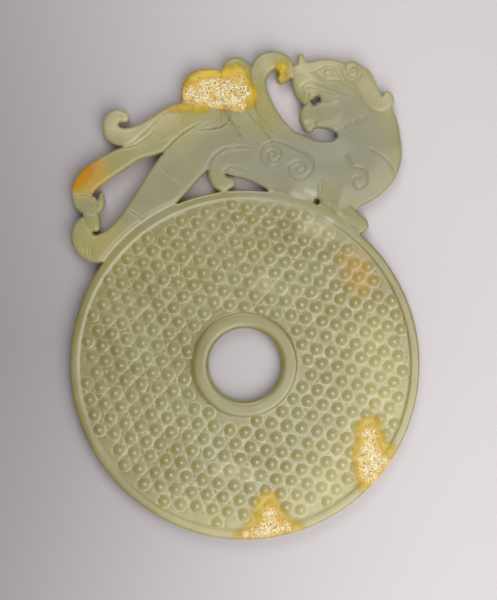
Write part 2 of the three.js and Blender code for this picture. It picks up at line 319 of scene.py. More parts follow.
# Half the width, the depth, and the line.
ENGRAVED = [
    (0.7, 0.5, [(-37, 93), (-40, 90.5), (-42.8, 88.6), (-46.3, 87.3), (-50, 86.8), (-52.8, 86.2)]),
    (0.8, 0.75, [(-9.9, 107), (-8.9, 103), (-7.5, 100), (-5.4, 96.6), (-3.4, 93.4), (-2.2, 91.3)]),
    (0.5, 0.4, [(-5.8, 97), (-4.2, 95.6), (-2.5, 94.4)]),
    (0.5, 0.4, [(-6.8, 98.2), (-5.2, 94.6), (-3.8, 92.4)]),
    (0.75, 0.6, spiral(11, 84, 3.8, 90, -1.4)),
    (0.5, 0.4, arc(11, 84, 5.1, 100, 290)),
    (0.75, 0.6, [(10.9, 89.4), (15, 88.7), (20, 86.6), (24.5, 84.3), (26.8, 81.8), (27.2, 79), (26, 76.6),
                 (23.8, 74.8), (21, 74.3), (18.6, 75.3), (17.3, 77.3), (17.3, 79.6)]),
    (0.7, 0.5, spiral(21.7, 78.7, 3.2, 160, -1.3)),
    (0.75, 0.6, [(40.6, 84), (42.2, 81.2), (43.3, 79.3), (47.2, 78.5), (48.8, 75.8), (48, 71.8), (45.3, 70.5),
                 (43.1, 72.6), (44.1, 75), (45.9, 74.8)]),
    (0.55, 0.35, [(50.4, 86.3), (55, 83.4), (57.4, 81.2), (59.4, 78.1), (60.1, 76.1)]),
    (0.5, 0.35, [(29, 72.6), (28.9, 66.5)]),
    (0.4, 0.3, [(30.2, 73.8), (30.6, 70.3)]),
    (0.4, 0.3, [(30, 74), (32.8, 72.4)]),
    (0.35, 0.25, [(-29, 102), (-27, 98.8), (-25.8, 95.5)]),
    (0.35, 0.25, [(-27.8, 102.8), (-25.8, 99.3), (-24.6, 96)]),
    (0.35, 0.25, [(-34, 79.8), (-31, 76.8), (-25, 73.7)]),
    (0.35, 0.25, [(-33, 78.2), (-30.2, 75.4), (-25.4, 72.6)]),
    (0.35, 0.25, [(-47, 61.8), (-40.6, 58)]),
    (0.35, 0.25, [(-46, 63), (-40, 59.4)]),
    (0.35, 0.25, [(-56.7, 94.6), (-51, 94.8)]),
    (0.5, 0.45, [(-69.4, 68.9), (-65.5, 69.3), (-61.5, 68.7)]),
    (0.5, 0.45, [(-69.4, 67.3), (-65.5, 67.7), (-61.8, 67.2)]),
    # the ear's roll, the brow, the eye's lids and its ball, the lips
    (0.65, 0.5, spiral(43.1, 117.7, 3.1, 165, 1.25)),
    (0.65, 0.55, [(37.8, 120), (38.6, 117.2), (39.6, 115), (41.2, 112.6), (43.4, 110.8), (46, 108.6)]),
    (0.5, 0.45, [(35.9, 119), (37.2, 116.6), (38.6, 114.6), (40.2, 112.6), (42, 111.2)]),
    (0.5, 0.4, [(26.4, 116.9), (28.4, 117.4), (30.2, 118.5), (31.9, 119.4), (34, 119.5), (35.8, 118.8)]),
    (0.65, 0.55, [(28, 116.8), (29.4, 115.1), (31.2, 113.9), (33.5, 113.4), (36.5, 113.8), (38.2, 113.7),
                  (40.2, 111.9)]),
    (0.4, 0.35, arc(33.6, 116.4, 2.1, -20, 200)),
    (0.75, 0.6, [(22.6, 110.8), (23.5, 112.1), (25, 113), (26.6, 113.2), (28.2, 112.6), (31.5, 111.2),
                 (35, 109.9), (38.5, 108.4), (40.6, 107.8)]),
    (0.5, 0.4, [(24.8, 111.2), (27, 110.9), (30, 109.7), (33.5, 108.5), (36.5, 107.4)]),
    (0.4, 0.3, [(23.4, 109), (24.2, 107.4), (25.6, 106.4)]),
    (0.5, 0.35, [(24.2, 104.8), (26, 103.6), (28.4, 103.9), (30.5, 105.6)]),
]
# Rows of short cuts: half the width and the depth of each, where the row starts and ends, the first and the
# last cut from it, and how many.
HAIR_ROWS = [
    (0.42, 0.4, (40.4, 93.6), (49.2, 97.4), (-0.7, 2), (-1, 1.9), 8),
    (0.35, 0.3, (34, 65), (42.5, 61.5), (0.3, -1.8), (0.2, -1.7), 8),
    (0.35, 0.28, (1.4, 113), (5.4, 122.6), (2.2, -1), (1.8, -1.9), 9),
    (0.35, 0.28, (14.4, 122.6), (19.6, 115.6), (-1.1, -2.2), (-2.8, -0.2), 9),
    (0.35, 0.28, (-66, 44.4), (-61.8, 43.4), (0.6, 3), (0.3, 3.6), 5),
    (0.45, 0.45, (1.4, 101), (4.2, 101.6), (4.1, -5), (6.9, -9), 4),
]


def engraved_lines(step=0.4, bend=0.06):
    """Every cut: half its width, its depth, and its line. Each hair is bent a little in its middle."""
    lines = [(half, depth, smooth_line(points, step)) for half, depth, points in ENGRAVED]
    for half, depth, start, end, first, last, count in HAIR_ROWS:
        for t in np.linspace(0, 1, count):
            foot = mix(np.array(start), np.array(end), t)
            tip = foot + mix(np.array(first), np.array(last), t)
            lines.append((half, depth, smooth_line([foot, mix(foot, tip, 0.5) + bend, tip], step)))
    return lines


CUTS = engraved_lines()

# ---- The studs ----
def drift(x, y):
    """How far the hand-set rows stray from a true honeycomb."""
    x, y = x / 60, y / 60  # near the rim, about 1
    return (0.7 + 1.2 * x - 0.6 * y - 1.3 * x * x - 1.5 * x * y - 0.9 * y * y - 1.6 * x**3 + 0.8 * x * x * y,
            0.3 + 1.2 * x + y - 0.6 * x * y - 1.3 * y * y - 2.3 * x**3 + 0.5 * x * y * y - 1.8 * y**3)


def stud_places(random):
    """Each stud: its middle, its radius and its height."""
    cos, sin = math.cos(ROW_TILT), math.sin(ROW_TILT)
    steps = range(-14, 15)  # enough to reach past the rim on all sides
    studs = []
    for j in steps:
        for i in steps:
            along, up = PITCH * (i + 0.5 * (j % 2)), ROW_STEP * j
            x, y = FIRST_STUD[0] + along * cos - up * sin, FIRST_STUD[1] + along * sin + up * cos
            dx, dy = drift(x, y)
            x += dx + random.normal(0, PLACE_JITTER)
            y += dy + random.normal(0, PLACE_JITTER)
            size = 1 + random.normal(0, SIZE_JITTER)
            height = 1 + random.normal(0, HEIGHT_JITTER)
            if COLLAR_OUTER + STUD_CLEAR < math.hypot(x, y) < RIM_INNER - STUD_CLEAR:
                studs.append((x, y, STUD_RADIUS * size, STUD_HEIGHT * height))
    return np.array(studs)


STUDS = stud_places(np.random.default_rng(11))


# ---- Heights ----
def ring_top(r):
    """The ring's face without its studs, over the table."""
    sunk = step_up((r - COLLAR_OUTER) / COLLAR_SLOPE) - step_up((r - RIM_INNER) / RIM_SLOPE + RIM_LIP)
    outward = np.clip((r - COLLAR_OUTER) / (RIM_INNER - COLLAR_OUTER), 0, 1)
    z = THICKNESS - mix(*FIELD_DEPTH, outward) * sunk
    bore_drop = THICKNESS / 2 - BORE_LAND
    return z - bore_drop * (1 - quarter((r - BORE) / (COLLAR_INNER - BORE)))


def tree_of(points):
    """For finding the nearest of some points in the plane."""
    tree = kdtree.KDTree(len(points))
    for k, (x, y) in enumerate(points):
        tree.insert((x, y, 0), k)
    tree.balance()
    return tree


STUD_TREE = tree_of(STUDS[:, :2])


def nearest_stud(p):
    """For points in the plane: which stud is nearest, and how far away its middle is."""
    found = [STUD_TREE.find((x, y, 0))[1:] for x, y in p]
    return np.array([k for k, _ in found]), np.array([gap for _, gap in found])


def stud_rise(p, keep=1.0):
    """How high the studs and their drilled moats stand at points in the plane."""
    nearest, gap = nearest_stud(p)
    radius, height = STUDS[nearest, 2:].T
    slope = np.hypot(np.minimum(gap, radius), STUD_TIP)
    foot = np.hypot(radius, STUD_TIP)
    cone = height * (foot - slope) / (foot - STUD_TIP)
    at, width, depth = MOAT
    return keep * (cone - depth * bell(gap - at, width))


def in_field(r):
    """Whether a distance from the middle lies between the collar and the rim."""
    return (r > COLLAR_OUTER) & (r < RIM_INNER)


def dragon_top(p, depth):
    """The dragon's back: limbs laid one over another, each with a crease round it."""
    covered = np.full(len(p), FAR)
    for line in BODY_LINES.values():
        covered = np.minimum(covered, limb_field(p, line)[0])
    z = mix(BODY_LOW, BODY_HIGH, step_up(depth / BODY_REACH))
    for name, (top, cut, rise, _) in LIMBS.items():
        outside, across, along = limb_field(p, LIMB_LINES[name])
        risen = step_up(along / rise - LEVEL_SHARE) if rise else np.ones(len(p))
        crown = top - CROWN_DROP * np.minimum(across, 1) ** 4
        over = step_up(-covered / OVERLAP)
        foot = mix(crown, np.minimum(z, crown) - cut, over)
        inside = mix(z, mix(foot, crown, quarter(-outside / FLANK)), np.where(over > 0, risen, 1))
        crease = cut * risen * over * bell(np.maximum(outside, 0), CREASE_WIDTH)
        z = np.where(outside < 0, inside, z - crease)
        covered = np.minimum(covered, outside)
    return z


def cut_depth(p):
    """How deep the engraved lines go at points in the plane."""
    depth = np.zeros(len(p))
    for half, deepest, line in CUTS:
        limb = np.column_stack([line[:, :2], np.full(len(line), half)])
        across = limb_field(p, limb)[1]
        depth = np.maximum(depth, deepest * (1 - np.minimum(across, 1)))
    return depth


def boss_rise(p):
    """How far the face's rounded forms stand out, or go in, at points in the plane."""
    rise = np.zeros(len(p))
    for x, y, radius, height in BOSSES:
        rise += height * quarter(1 - distance(p, x, y) / radius)
    return rise


def edge_rounding(r, depth, off_ring, limb_round):
    """How far the rounding of the outer edges goes in from a face; the hole's edge has a shape of its own."""
    reach = mix(RIM_ROUND[0], limb_round[0], off_ring)
    drop = np.where(r < COLLAR_INNER + 1, 0, mix(RIM_ROUND[1], limb_round[1], off_ring))
    return drop * (1 - quarter(depth / reach))


def top_height(p, depth):
    """The height of the carved face over the table, given each point's distance from the outline."""
    r = from_middle(p)
    off_ring = step_up((r - RADIUS) / RING_FADE)
    ring = ring_top(r)
    field = in_field(r)
    to_band = np.minimum(r - COLLAR_OUTER, RIM_INNER - r)[field]
    ring[field] += stud_rise(p[field]) * np.minimum(1, to_band / STUD_EDGE)
    z = mix(ring, dragon_top(p, depth), off_ring)
    at, half, deep = RIM_GROOVE
    z -= deep * bell(r - at, half) * step_up(depth / GROOVE_FADE)
    z += boss_rise(p) - cut_depth(p)
    return np.minimum(z, TOP) - edge_rounding(r, depth, off_ring, LIMB_ROUND)


def back_height(p, depth):
    """The face underneath: the same bands, lower studs, and no engraving on the dragon."""
    r = from_middle(p)
    off_ring = step_up((r - RADIUS) / RING_FADE)
    ring = THICKNESS - ring_top(r)
    field = in_field(r)
    ring[field] -= stud_rise(p[field], BACK_STUDS)
    z = ring * (1 - off_ring)
    return np.maximum(z, 0) + edge_rounding(r, depth, off_ring, BACK_ROUND)


# ---- Where the stone's colour changes, and where light and shade are painted on ----
# Lines with half-widths, as the limbs have, and how softly each patch fades out.
PATCHES = {
    "crust": (2.2, [
        [(50, -27.5, 3), (50, -32, 3.8), (50.5, -38, 5.2), (50, -43.5, 4.6)],
        [(52, -39, 3), (56.5, -38.5, 2.5)],
        [(9.5, -58, 2), (10, -61, 3.5), (10, -65, 4.5)],
        [(0, -67.8, 1.6), (9, -66, 3), (17.5, -64.5, 2)],
        [(-22, 108.5, 3.4), (-15, 108.8, 5.6), (-6, 108.5, 6), (-1, 108.5, 4)],
        [(-2, 114, 2.4), (-2.5, 104, 3)],
    ]),
    "gold": (3.2, [
        [(49.5, -25, 5), (50, -32, 6.8), (51, -38, 8), (49, -46, 5)], [(56, -34, 4), (59, -36, 3)],
        [(9.5, -56, 4.5), (10, -63, 8)], [(-2, -68, 2.5), (10, -64, 5), (21, -65, 2.5)],
        [(-21, 110, 5), (-15, 111.5, 7.6), (-6, 112, 7.5), (1, 108, 5)], [(-3, 116, 5)],
        [(-16, 103, 1.5), (-24, 103, 1.5), (-30, 101.5, 1)], [(2, 106, 2)],
        [(-63.5, 76.5, 2.5), (-66.5, 71.5, 2.5)],
        [(15, 119, 3), (14.5, 114.5, 2)], [(26.5, 107.6, 0.8)],
    ]),
    "stain": (3.2, [
        [(-59.5, 81, 1), (-62.5, 77.5, 2.6), (-65.5, 73, 2), (-67.5, 71, 1)],
        [(-60.8, 70.5, 0.8), (-57, 74.2, 0.5)],
        [(-23, 113.5, 1), (-24, 109, 1.2)], [(0, -67.6, 1)],
        [(-9, 106, 0.8), (-8.5, 102.5, 1.6)], [(-25, 107, 1.2), (-14, 107, 0.7)], [(26.3, 107.8, 0.8)],
    ]),
    "amber": (7, [[(-58, 79, 2.5), (-61, 75, 5), (-64, 71.5, 4.5)], [(14.5, 117, 2.5)], [(1, 110, 2)]]),
    "chip": (1.0, [[(24.8, 69.6, 0.6), (27.6, 68.4, 1)], [(33, 58.2, 0.5), (34.6, 57.4, 0.8)]]),
    "rust": (9, [[(42, 42, 3), (46.5, 36, 4.5), (50, 29, 3)]]),
    # Deep olive: partly the stone's own, partly painted shade, most of it on the ring's left where less light
    # falls.
    "olive": (14, [
        [(-71, 28, 4), (-74, 4, 4), (-71, -20, 3)], [(-19, 6, 5), (-18, -6, 3)],
        [(-68, 24, 4), (-56, 12, 6), (-46, -8, 6)], [(-18, 4, 3)], [(18, 54, 3), (36, 42, 3)],
        [(-42, 34, 4), (-30, 18, 7), (-24, 4, 6), (-20, -12, 2)], [(-66, -8, 4), (-60, -32, 4)],
    ]),
    "warm": (12, [
        [(-60, 49, 6), (-52, 52, 4)], [(-25, 98, 4), (-38, 93, 3)], [(-50, 83, 2), (-56, 79, 2)],
        [(10, 98, 3), (7, 108, 3)], [(-9, 77, 2)], [(25.6, 96, 2)],
    ]),
    # A painted sheen: paler over the ring's lower right and its lower rim, where the light shines.
    "light": (22, [[(52, 10, 2), (56, -12, 7), (44, -40, 9), (20, -62, 7), (-6, -70, 8), (-30, -66, 3)]]),
    "cloud": (7, [
        [(-44, 91, 5), (-51, 97, 8)], [(-30, 99, 2), (-38, 95, 4)], [(9, 120, 4), (16, 118, 4)],
        [(22, 119, 4), (24, 113, 3)], [(30, 120, 2), (40, 118, 2)], [(56, 106, 2.5), (49, 111, 2)],
        [(8, 33, 3), (20, 28, 1)], [(-10, -42, 3), (4, -45, 2)], [(26, 56, 4), (34, 53, 3)],
    ]),
    "grey": (12, [
        [(-14, 84, 6), (14, 80, 12), (44, 86, 14), (44, 68, 6)], [(40, 100, 8), (30, 103, 4)],
        [(-28, 76, 5), (-46, 57, 3)],
    ]),
}


def patch(name, p):
    """How much of a patch there is at points in the plane: 1 well inside it, a half at its edge, 0 away."""
    soft, lines = PATCHES[name]
    amount = np.zeros(len(p))
    for line in lines:
        line = smooth_line(line, 0.6) if len(line) > 1 else np.array(line, float)
        gap = np.full(len(p), np.inf)
        for x, y, half in line[:: max(1, int(soft))]:  # a soft patch needs few of the line's points
            gap = np.minimum(gap, distance(p, x, y) - half)
        amount = np.maximum(amount, np.clip(0.5 - gap / soft / 2, 0, 1))
    return amount


# ---- Where the mesh's points lie ----
class Scatter:
    """Points in the plane, starting with the outline's; those added later keep a distance from the others."""

    CELL = 0.12  # the side of the grid's cells

    def __init__(self, outline):
        margin = 5
        self.low = np.array([-RADIUS - margin, -RADIUS - margin])
        size = np.array([RADIUS + margin, CREST + margin]) - self.low
        self.taken = np.zeros((size / self.CELL).astype(int), bool)
        self.taken[self.cells(outline.points)] = True
        self.groups = [outline.points]
        self.outline = outline

    def cells(self, p):
        """Which cells of the grid points lie in."""
        return tuple(((p - self.low) / self.CELL).astype(int).T)

    def add(self, p, gap):
        """Adds the points that lie about a gap or more from all others."""
        if len(p) == 0:
            return
        reach = int(round(gap / self.CELL))
        blocked = self.taken.copy()
        for shift in range(1, reach + 1):
            for axis in (0, 1):
                blocked |= np.roll(self.taken, shift, axis) | np.roll(self.taken, -shift, axis)
        near = blocked.copy()
        half = max(1, int(reach * 0.7))  # fills in the corners of the cross that the shifts make
        for axis in (0, 1):
            near |= np.roll(blocked, half, axis) & np.roll(blocked, -half, axis)
        p = p[~near[self.cells(p)]]
        square = np.floor(p / max(gap * 0.75, 0.1)).astype(int)
        _, first = np.unique(square, axis=0, return_index=True)
        p = p[np.sort(first)]
        self.taken[self.cells(p)] = True
        self.groups.append(p)

    def add_inside(self, p, gap, low=0, high=math.inf, margin=0.35):
        """Adds those that lie in the stone, a margin from its edge, and between two radii."""
        r = from_middle(p)
        p = p[(r > low) & (r < high)]
        self.add(p[slab_field(p) < -margin], gap)

    def add_along_edge(self, rows, low=0):
        """Adds rows that follow the outline, without the parts that a bend brings too near to the edge."""
        field_share, depth_share = 0.8, 0.85
        for inset, gap in rows:
            row = self.outline.inset(inset)
            row = row[(from_middle(row) > low) & (slab_field(row) < -field_share * inset)]
            self.add(row[self.outline.depth(row) > depth_share * inset], gap)

    def all(self):
        return np.vstack(self.groups)


class Outline:
    """The slab's edge, for distances to it."""

    def __init__(self, loops):
        self.points = np.vstack(loops)
        sizes = [len(loop) for loop in loops]
        spans = zip(run(sizes), sizes)
        self.after = np.concatenate([start + (np.arange(size) + 1) % size for start, size in spans])
        self.before = np.empty_like(self.after)
        self.before[self.after] = np.arange(len(self.after))
        self.tree = tree_of(self.points)

    def depth(self, p):
        """The distance from points in the stone to its edge."""
        nearest = np.array([self.tree.find((x, y, 0))[1] for x, y in p])
        best = np.full(len(p), np.inf)
        for a, b in ((nearest, self.after[nearest]), (self.before[nearest], nearest)):
            start, way = self.points[a], self.points[b] - self.points[a]
            t = np.clip(((p - start) * way).sum(1) / (way * way).sum(1), 0, 1)
            best = np.minimum(best, np.linalg.norm(p - start - t[:, None] * way, axis=1))
        return best

    def holds(self, p):
        """Whether points lie in the stone: a ray from each crosses the outline an odd number of times."""
        (x0, y0), (x1, y1) = self.points.T, self.points[self.after].T
        x, y = p[:, :1], p[:, 1:]
        level = (y0 > y) != (y1 > y)
        rise = np.where(y1 == y0, 1, y1 - y0)
        return (level & (x < x0 + (y - y0) / rise * (x1 - x0))).sum(1) % 2 == 1

    def inset(self, gap):
        """The outline moved a distance into the stone."""
        way = self.points[self.after] - self.points[self.before]
        way /= np.linalg.norm(way, axis=1)[:, None]
        return self.points + gap * np.column_stack([-way[:, 1], way[:, 0]])


def beside(line, offsets):
    """Rows of points alongside a line, on both sides, at offsets from its middle."""
    way = np.gradient(line[:, :2], axis=0)
    way /= np.linalg.norm(way, axis=1)[:, None]
    left = np.column_stack([-way[:, 1], way[:, 0]])
    rows = [line[:, :2] + left * np.reshape(offset, (-1, 1)) for offset in offsets]
    return np.vstack(rows)


def ring_points(radii, step):
    """Circles of points round the middle of the disc."""
    rows = []
    for r in radii:
        count = int(math.tau * r / step)
        angle = np.linspace(0, math.tau, count, endpoint=False)
        rows.append(r * np.column_stack([np.cos(angle), np.sin(angle)]))
    return np.vstack(rows)


def stud_points(rings):
    """A point on each stud's middle, and rings of points round it: their radii and how many in each."""
    around = [np.zeros((1, 2))]
    for k, (radius, count) in enumerate(rings):
        angle = math.tau * (np.arange(count) + 0.5 * (k % 2)) / count
        around.append(radius * np.column_stack([np.cos(angle), np.sin(angle)]))
    return (STUDS[:, None, :2] + np.vstack(around)[None]).reshape(-1, 2)


def honeycomb(gap):
    """Points all over, a gap apart."""
    margin = 2
    xs = np.arange(-RADIUS - margin, RADIUS + margin, gap)
    ys = np.arange(-RADIUS - margin, CREST + margin, gap * math.sqrt(3) / 2)
    x, y = np.meshgrid(xs, ys)
    x[1::2] += gap / 2
    return np.column_stack([x.ravel(), y.ravel()])


def triangles(outline, points):
    """Joins the outline and the points inside it into triangles."""
    edges = [(k, int(after)) for k, after in enumerate(outline.after)]
    places = [Vector((float(x), float(y))) for x, y in points]
    inside_outer_loop, tolerance = 1, 1e-7
    verts, _, faces, *_ = delaunay_2d_cdt(places, edges, [], inside_outer_loop, tolerance)
    if len(verts) != len(points):
        raise RuntimeError(f"{len(verts)} of {len(points)} points came back")
    flat, faces = np.array([(v.x, v.y) for v in verts]), np.array([tuple(face) for face in faces])
    # Only a face whose corners all lie on the outline can lie outside the stone, across a hole or a bay.
    unsure = (faces < len(outline.points)).all(1)
    keep = np.ones(len(faces), bool)
    keep[unsure] = outline.holds(flat[faces[unsure]].mean(1))
    return flat, faces[keep]


# Rows of points along the slab's edge: how far in, and the least gap to other points.
FACE_EDGE_ROWS = [(0.15, 0.12), (0.45, 0.3), (0.85, 0.3), (1.35, 0.3), (1.95, 0.3), (2.6, 0.3)]
BACK_EDGE_ROWS = [(0.25, 0.2), (0.8, 0.45), (1.7, 0.45)]
# Circles of points where the ring's section bends: radii, the step along each, the least gap to other points,
# between which radii, and how far from the edge.
FACE_RINGS = [
    ([14.85, 15.3, 15.9, 16.5], 0.62, 0.12, 0, 17, 0.01),
    ([17.5, 19, 20.2, 20.45, 20.65, 20.9], 0.75, 0.12, 17, 21, 0.01),
    ([65.8, 66.1, 66.45, 66.8, 67.2], 0.9, 0.12, 65, 67.5, 0.01),
    ([68.4, 69.0, 69.35, 69.65, 69.88], 0.6, 0.1, 67.5, 70, 0.03),
]
BACK_RINGS = [
    ([14.7, 15.6, 16.5], 1, 0.2, 0, 17, 0.1),
    ([20.3, 20.9, 65.8, 66.4], 1.3, 0.3, 17, 67, 0.1),
]
# Circles of points round each stud: their radii, and how many in each.
FACE_STUD_RINGS = [(0.5, 6), (1.2, 10), (1.95, 14), (2.45, 18), (2.72, 18), (2.98, 18)]
BACK_STUD_RINGS = [(0.9, 6), (1.8, 8), (2.6, 10)]
STUD_FIELD = (COLLAR_OUTER + 0.7, RIM_INNER - 0.7)  # between these radii
# Rows beside each limb's edge, out from it, and how wide a cut is that has points on its slopes too.
LIMB_ROWS = (0, -0.25, 0.3, -0.6, -1.1, 0.7)
WIDE_CUT = 0.38


def top_points(outline):
    """Points for the carved face, closest where its height changes most; the first come are kept."""
    s = Scatter(outline)
    s.add_along_edge(FACE_EDGE_ROWS, RADIUS - 0.5)
    s.add_inside(ring_points([70.1, 70.5, 70.9, 71.3, 71.8], 0.6), 0.25, RADIUS)
    for half, _, line in CUTS:
        s.add_inside(beside(line, [0]), 0.14, RADIUS)
        s.add_inside(beside(line, [-half, half]), 0.2, RADIUS)
        if half > WIDE_CUT:
            s.add_inside(beside(line, [-half / 2, half / 2]), 0.14, RADIUS)
    for line in LIMB_LINES.values():
        for out in LIMB_ROWS:
            s.add_inside(beside(line, [line[:, 2] + out, -line[:, 2] - out]), 0.25, RADIUS)
    s.add_inside(honeycomb(0.66), 0.42, RADIUS)
    for radii, step, *limits in FACE_RINGS:
        s.add_inside(ring_points(radii, step), *limits)
    s.add_inside(stud_points(FACE_STUD_RINGS), 0.1, *STUD_FIELD)
    s.add_inside(honeycomb(0.95), 0.7, *STUD_FIELD)
    s.add_inside(honeycomb(1.4), 1.0, 0, RADIUS)
    return s.all()


def back_points(outline):
    """Points for the plainer back, in the same way."""
    s = Scatter(outline)
    s.add_along_edge(BACK_EDGE_ROWS)
    for radii, step, *limits in BACK_RINGS:
        s.add_inside(ring_points(radii, step), *limits)
    s.add_inside(stud_points(BACK_STUD_RINGS), 0.3, *STUD_FIELD, 0.1)
    s.add_inside(honeycomb(2.4), 1.4, margin=0.1)
    return s.all()


WALL_STEPS = 3  # rows of points between the face's edge and the back's


def slab_mesh(outline):
    """The whole stone, closed: points in millimetres, and triangles facing out."""
    top_flat, top_faces = triangles(outline, top_points(outline))
    back_flat, back_faces = triangles(outline, back_points(outline))
    edge = len(outline.points)
    top_depth, back_depth = outline.depth(top_flat), outline.depth(back_flat)
    top_depth[:edge] = back_depth[:edge] = 0
    top = np.column_stack([top_flat, top_height(top_flat, top_depth)])
    back = np.column_stack([back_flat, back_height(back_flat, back_depth)])
    walls = [mix(top[:edge], back[:edge], (k + 1) / (WALL_STEPS + 1)) for k in range(WALL_STEPS)]
    points = np.vstack([top, *walls, back])
    first_wall, first_back = len(top), len(top) + WALL_STEPS * edge
    rows = [0, *(first_wall + k * edge for k in range(WALL_STEPS)), first_back]
    here, there = np.arange(edge), outline.after
    faces = [top_faces, back_faces[:, ::-1] + first_back]
    for upper, lower in zip(rows, rows[1:]):
        faces.append(np.column_stack([upper + here, lower + here, lower + there]))
        faces.append(np.column_stack([upper + here, lower + there, upper + there]))
    return points, np.vstack(faces)


# ---- Into the frame ----
low, high = (Vector(corner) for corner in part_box("jade_bi"))
MM = (high.x - low.x) / (2 * RADIUS)  # one millimetre in the frame's metres
DISC_MIDDLE = Vector(((low.x + high.x) / 2, low.y + RADIUS * MM, low.z))


def place(points):
    """From millimetres about the disc's middle to the frame."""
    return points * MM + np.array(DISC_MIDDLE)


def mesh_object(name, points, faces):
    """A smooth-shaded object of triangles."""
    mesh = bpy.data.meshes.new(name)
    mesh.vertices.add(len(points))
    mesh.vertices.foreach_set("co", points.ravel())
    mesh.loops.add(faces.size)
    mesh.loops.foreach_set("vertex_index", faces.ravel().astype(np.int32))
    mesh.polygons.add(len(faces))
    mesh.polygons.foreach_set("loop_start", np.arange(0, faces.size, 3, dtype=np.int32))
    mesh.polygons.foreach_set("use_smooth", np.ones(len(faces), bool))
    mesh.update()
    mesh.validate()
    piece = bpy.data.objects.new(name, mesh)
    bpy.context.scene.collection.objects.link(piece)
    return piece


points, faces = slab_mesh(Outline(slab_outline()))
bi = mesh_object("carved_jade_bi", place(points), faces)


def paint(name, values):
    """Gives each point of the mesh a number that the stone's nodes can read."""
    bi.data.attributes.new(name, "FLOAT", "POINT").data.foreach_set("value", values.astype(np.float32))


def stud_gap(p):
    """The distance to the nearest stud's middle where there are studs, and a whole pitch elsewhere."""
    r = from_middle(p)
    return np.where((r > COLLAR_OUTER + 0.3) & (r < RIM_INNER - 0.3), nearest_stud(p)[1], PITCH)


def on_dragon(p):
    """0 on the ring and 1 on the dragon, blended over two millimetres."""
    return step_up((from_middle(p) - RADIUS - 0.5) / 2)


for name in PATCHES:
    paint(name, patch(name, points[:, :2]))
paint("stud_gap", stud_gap(points[:, :2]))
paint("dragon", on_dragon(points[:, :2]))


# ---- Stone ----
class Nodes:
    """A material's nodes, made in short calls."""

    def __init__(self, material):
        self.tree = material.node_tree
        self.shader = self.tree.nodes["Principled BSDF"]

    def put(self, socket, value):
        """Sets a socket to a number or colour, or links it to another socket."""
        if isinstance(value, bpy.types.NodeSocket):
            self.tree.links.new(value, socket)
        else:
            socket.default_value = value

    def attribute(self, name):
        node = self.tree.nodes.new("ShaderNodeAttribute")
        node.attribute_name = name
        return node.outputs["Fac"]

    def coordinate(self, axis):
        node = self.tree.nodes.new("ShaderNodeSeparateXYZ")
        self.put(node.inputs[0], self.tree.nodes.new("ShaderNodeTexCoord").outputs["Object"])
        return node.outputs[axis]

    def noise(self, scale, detail=3.0, roughness=0.5, distortion=0.0, stretch=None):
        """Noise with features about 1/scale metres across; stretch turns its place after scaling y."""
        where = self.tree.nodes.new("ShaderNodeTexCoord").outputs["Object"]
        if stretch:
            mapping = self.tree.nodes.new("ShaderNodeMapping")
            mapping.inputs["Rotation"].default_value = (0, 0, math.radians(stretch[0]))
            mapping.inputs["Scale"].default_value = (1, stretch[1], 1)
            self.put(mapping.inputs["Vector"], where)
            where = mapping.outputs["Vector"]
        node = self.tree.nodes.new("ShaderNodeTexNoise")
        self.put(node.inputs["Vector"], where)
        values = {"Scale": scale, "Detail": detail, "Roughness": roughness, "Distortion": distortion}
        for name, value in values.items():
            node.inputs[name].default_value = value
        return node.outputs["Fac"]

    def math(self, kind, a, b=0.0, c=0.0):
        node = self.tree.nodes.new("ShaderNodeMath")
        node.operation = kind
        for socket, value in zip(node.inputs, (a, b, c)):
            self.put(socket, value)
        return node.outputs[0]

    def stray(self, noise, amount, value=0.0):
        """A value made to wander with a noise, by up to half of amount either way."""
        return self.math("MULTIPLY_ADD", self.math("SUBTRACT", noise, 0.5), amount, value)

    def range(self, value, low, high, to_low=0.0, to_high=1.0):
        """A value taken smoothly from one range to another, and kept within it."""
        node = self.tree.nodes.new("ShaderNodeMapRange")
        node.interpolation_type = "SMOOTHSTEP"
        names = ("Value", "From Min", "From Max", "To Min", "To Max")
        for name, number in zip(names, (value, low, high, to_low, to_high)):
            self.put(node.inputs[name], number)
        return node.outputs[0]

    def blend(self, amount, a, b):
        """Colour a where amount is 0, and b where it is 1."""
        node = self.tree.nodes.new("ShaderNodeMix")
        node.data_type = "RGBA"
        self.put(node.inputs[0], amount)
        for socket, colour in ((node.inputs[6], a), (node.inputs[7], b)):
            self.put(socket, colour if isinstance(colour, bpy.types.NodeSocket) else (*colour, 1))
        return node.outputs[2]

    def bump(self, height, strength, distance, under=None):
        node = self.tree.nodes.new("ShaderNodeBump")
        node.inputs["Strength"].default_value = strength
        node.inputs["Distance"].default_value = distance
        self.put(node.inputs["Height"], height)
        if under is not None:
            self.put(node.inputs["Normal"], under)
        return node.outputs[0]


# The stone's colours, linear: the ring's ground, and what lies over it from place to place. Some stand in for
# light: a painted sheen, painted glints on the studs, and painted shade within the deep olive.
GREEN_GREY = (0.30, 0.275, 0.095)
OLIVE = (0.28, 0.235, 0.055)
# partly the stone's own deep olive, partly painted shade
DEEP_OLIVE_AND_SHADE = (0.20, 0.158, 0.024)
DRAGON_DARK, DRAGON_PALE = (0.34, 0.325, 0.16), (0.44, 0.41, 0.215)
# The first of these two is a painted sheen for the ring's lower right; the second is the stone's own warmer
# tone.
PAINTED_SHEEN, WARM = (0.60, 0.53, 0.21), (0.42, 0.36, 0.10)
PALE = (0.60, 0.54, 0.32)
GREY = (0.315, 0.30, 0.205)
# A painted highlight, for the studs' tips and the lines on their drilled rings.
PAINTED_GLINT = (0.60, 0.58, 0.36)
CHIP_PALE = (0.66, 0.65, 0.55)
DARK_GOLD, GOLD = (0.46, 0.31, 0.02), (0.74, 0.53, 0.06)
AMBER = (0.56, 0.34, 0.035)
ORANGE = (0.54, 0.215, 0.002)
RUST = (0.45, 0.275, 0.012)
CRUST_PIT, CRUST_DARK, CRUST_PALE = (0.30, 0.18, 0.04), (0.66, 0.48, 0.18), (0.95, 0.86, 0.60)
CRUST_EDGE = (0.72, 0.46, 0.07)


